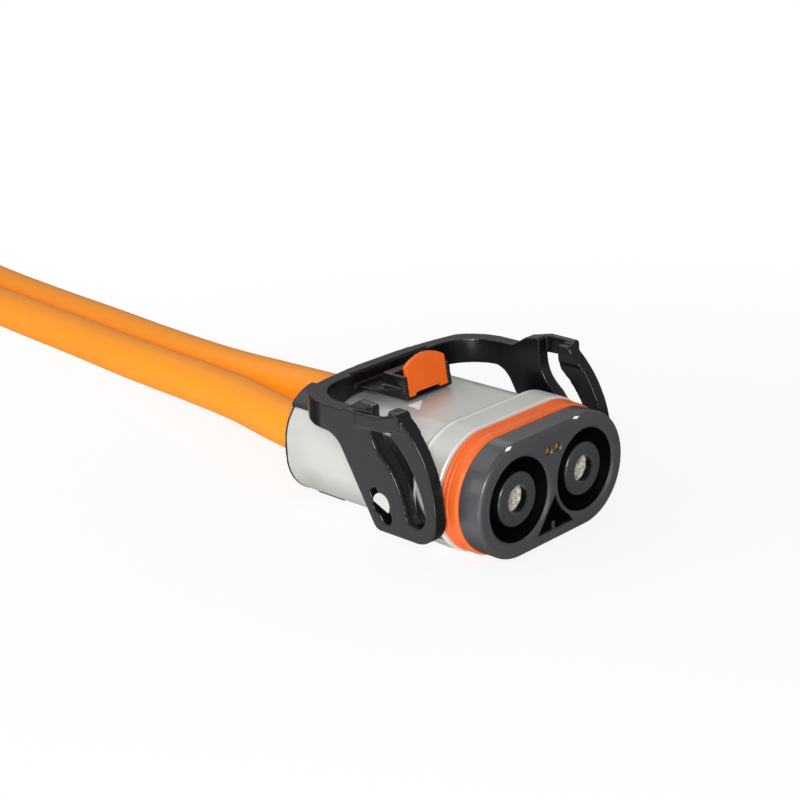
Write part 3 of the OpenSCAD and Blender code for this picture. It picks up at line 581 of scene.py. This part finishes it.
# Painted shade in the cavities, the interlock bores and the key recess
shaded(grey_moulding, "#070708", cavities + bores, [KEY_RECESS], FACE_SHADE_START)
tower_moulding = grained("glass-filled nylon, moulded black", "#303033", "#3a3a3d",
                         roughness=0.26, grain=0.35, depth=0.012, cloud=12)
towers = [(side * HALF_PITCH, 0, TOWER_R) for side in (-1, 1)]
# Painted shade in the towers' bores
shaded(tower_moulding, "#0c0c0d", towers, [], TOWER_SHADE_START)
# Plain nylon: a little duller and blacker, for the interlock's carrier and the rear cap
black_moulding = grained("nylon, moulded black", "#1e1e20", "#28282a",
                         roughness=0.36, grain=0.35, depth=0.02, cloud=12)
finish(packed("front_shroud", "face_block"), "plug", grey_moulding)
finish(packed("terminal_housing", "contact_towers"), "plug", tower_moulding)
finish(packed("hvil_carrier", "interlock_carrier"), "plug", black_moulding)

# Marks: two white lozenges printed on the rounded top edge of the face block and
# a white triangle on the shell, in pad-printed ink a few hundredths thick, which
# looks flat, white and nearly matt.
FACE_R = 21.3
FACE_EDGE = 1.8
BODY_TOP = 20.6
INK = 0.05
LOZENGE_ROWS = 8
TRIANGLE = ((-57.1, -13.6), (-50.3, -14.3), (-56.7, -5.9))


def lozenge(name, y, half_width, low, high):
    """A lozenge wrapped over the face block's front edge, from low to high degrees up from the front."""
    on_round_end = abs(y) > HALF_PITCH
    middle = math.copysign(HALF_PITCH, y) if on_round_end else y
    lean = math.asin((y - middle) / FACE_R)
    shape = bmesh.new()
    rows = []
    for k in range(LOZENGE_ROWS + 1):
        up = math.radians(low + (high - low) * k / LOZENGE_ROWS)
        half = half_width * (1 - abs(2 * k / LOZENGE_ROWS - 1))
        radius = FACE_R - FACE_EDGE + (FACE_EDGE + INK) * math.sin(up)
        x = -FACE_EDGE + (FACE_EDGE + INK) * math.cos(up)
        row = []
        for across in (-half, 0, half) if half else (0,):
            turn = lean + across / FACE_R if on_round_end else 0
            shift = middle if on_round_end else y + across
            place = (x * MM, (shift + radius * math.sin(turn)) * MM, radius * math.cos(turn) * MM)
            row.append(shape.verts.new(place))
        rows.append(row)
    for one, two in zip(rows, rows[1:]):
        for i in range(2):
            corners = [one[i], one[i + 1]] if len(one) > 1 else [one[0]]
            corners += [two[i + 1], two[i]] if len(two) > 1 else [two[0]]
            shape.faces.new(corners)
    mesh = bpy.data.meshes.new(name)
    shape.to_mesh(mesh)
    shape.free()
    return new_object(name, mesh)


ink = grained("pad-printed ink, white", "#f4f4f2", "#ffffff", roughness=0.5, grain=0.3, depth=0.002, cloud=2)
for name, y in (("mark_left", 13.2), ("mark_right", -23.2)):
    finish(lozenge(name, y, half_width=1.9, low=38, high=76), "plug", ink)
mesh = bpy.data.meshes.new("triangle")
mesh.from_pydata([(x * MM, y * MM, (BODY_TOP + INK) * MM) for x, y in TRIANGLE], [], [(0, 1, 2)])
finish(new_object("mark_triangle", mesh), "plug", ink)

# Seals: orange liquid silicone. The interface seal is one ring, moulded with a
# broad band and two narrow ribs, and each cable has a ring of its own in the shell.
# The rubber is smooth and a little shiny, and flexes into its groove.
silicone = grained("liquid silicone rubber, moulded orange", "#e66026", "#f07434",
                   roughness=0.36, grain=0.9, depth=0.01, cloud=8, IOR=1.35)
finish(packed("perimeter_seal", "interface_seal"), "plug", silicone)
for side in SIDE:
    finish(packed("cable_seal_" + side, "cable_seal_ring_" + side), "plug", silicone)

# Contacts: copper sockets turned on a lathe and silver-plated, with a stamped band of
# plated bronze in a groove of each bore. The interlock's small loop is gold-plated brass.
# Thin plating looks pale, satin and blotchy, so these metals are drawn only part metallic.
# How far apart a wave texture of scale 1 draws its rings, in metres, and the blotches' size
WAVE_PITCH = 0.31
BLOTCH = 1.6


def turned(name, dark, light, roughness, pitch, metallic):
    """Turned and plated metal with fine rings along X, pitch millimetres apart.

    The rings are drawn coarser than a lathe leaves them, so that they show.
    """
    material, tree, shader = new_material(name, roughness, metallic)
    place = add(tree, "ShaderNodeTexCoord").outputs["Object"]
    rings = add(tree, "ShaderNodeTexWave", {"Vector": place, "Scale": WAVE_PITCH / (pitch * MM),
                                            "Distortion": 0.6, "Detail": 2.0}, bands_direction="X")
    clouds = add(tree, "ShaderNodeTexNoise",
                 {"Vector": place, "Scale": 1 / (BLOTCH * MM), "Detail": 3.0}).outputs["Fac"]
    blotches = add(tree, "ShaderNodeMapRange",
                   {"Value": clouds, "From Min": 0.38, "From Max": 0.6}).outputs[0]
    tone = add(tree, "ShaderNodeMix", {"Factor": blotches, "A": linear(dark), "B": linear(light)},
               data_type="RGBA")
    tree.links.new(tone.outputs["Result"], shader.inputs["Base Color"])
    bump = add(tree, "ShaderNodeBump",
               {"Height": rings.outputs["Fac"], "Strength": 0.5, "Distance": 0.008 * MM})
    tree.links.new(bump.outputs[0], shader.inputs["Normal"])
    return material


silver = turned("silver-plated copper, turned", "#beb8a6", "#fffdf6",
                roughness=0.32, pitch=0.35, metallic=0.3)
bronze = grained("plated spring bronze, stamped", "#7d7663", "#fffbea",
                 roughness=0.36, grain=0.5, depth=0.03, cloud=0.8, metallic=0.25)
gold = turned("gold-plated brass, turned", "#d08a26", "#e8a83c",
              roughness=0.35, pitch=0.25, metallic=0.4)
for side in SIDE:
    finish(packed("contact_" + side, "socket_contact_" + side), "plug", silver)
    finish(packed("contact_spring_" + side, "contact_band_" + side), "plug", bronze)
finish(packed("hvil_shunt", "interlock_shunt"), "plug", gold)

# Inside the shell: the comb that locks the contacts is moulded, the cable ends are
# stripped for the crimp, and drawn ferrules and stamped finger rings join the shields
# to the shell. The plastics look milky and satin, the metals bright and smooth.
natural = grained("nylon, moulded natural", "#d6d2c6", "#e2dfd4", roughness=0.45, grain=0.6, depth=0.02)
insulation = grained("cross-linked polyethylene insulation", "#d3ccbb", "#dfd9ca",
                     roughness=0.42, grain=1.2, depth=0.02)
spring_steel = grained("stainless spring steel, stamped", "#aeada8", "#c6c5c0",
                       roughness=0.28, grain=0.5, depth=0.005, metallic=1.0)
tinned_brass = grained("tinned brass, drawn", "#aaa699", "#beb9ac",
                       roughness=0.32, grain=0.5, depth=0.008, metallic=1.0)
finish(packed("contact_retainer", "contact_comb"), "plug", natural)
for side in SIDE:
    finish(packed("cable_core_" + side, "stripped_core_" + side), "plug", insulation)
    finish(packed("shield_ferrule_" + side, "shield_sleeve_" + side), "plug", tinned_brass)
    finish(packed("shield_spring_" + side, "shield_fingers_" + side), "plug", spring_steel)

# Rear cap: a thin cover moulded in the same plain black nylon as the interlock's
# carrier. It slides over the end of the shell and latches there with four tongues.
finish(moulded("rear_cap", "rear_cover", cell=0.4, rounds=2), "plug", black_moulding)

# Lever: glass-filled nylon moulded black. Both arms, the bow between them and the
# block for the lock button are one moulding, slipped over the shell's studs while open.
# Its mould is polished, so it is glossier than the insulator and mirrors the studio.
lever_plastic = grained("glass-filled nylon, moulded glossy black", "#0a0a0b", "#101012",
                        roughness=0.24, grain=1.2, depth=0.01, cloud=10, spread=0.04)
finish(moulded("lever", "cam_lever", cell=0.4, rounds=4), "lever", lever_plastic)

# Lock button: orange nylon, moulded with a plain satin face and slid into the lever.
# Its skin is drawn in a little, so that it keeps clear of the lever's guides.
BUTTON_DRAWN_IN = 0.2 * MM
button_plastic = grained("nylon, moulded orange", "#e85e0c", "#f06a14",
                         roughness=0.36, grain=0.6, depth=0.01, cloud=7)
button = finish(moulded("lock_button", "slide_button", cell=0.3, rounds=5), "lock",
                button_plastic)
inward = [corner.normal * BUTTON_DRAWN_IN for corner in button.data.vertices]
for corner, step in zip(button.data.vertices, inward):
    corner.co -= step
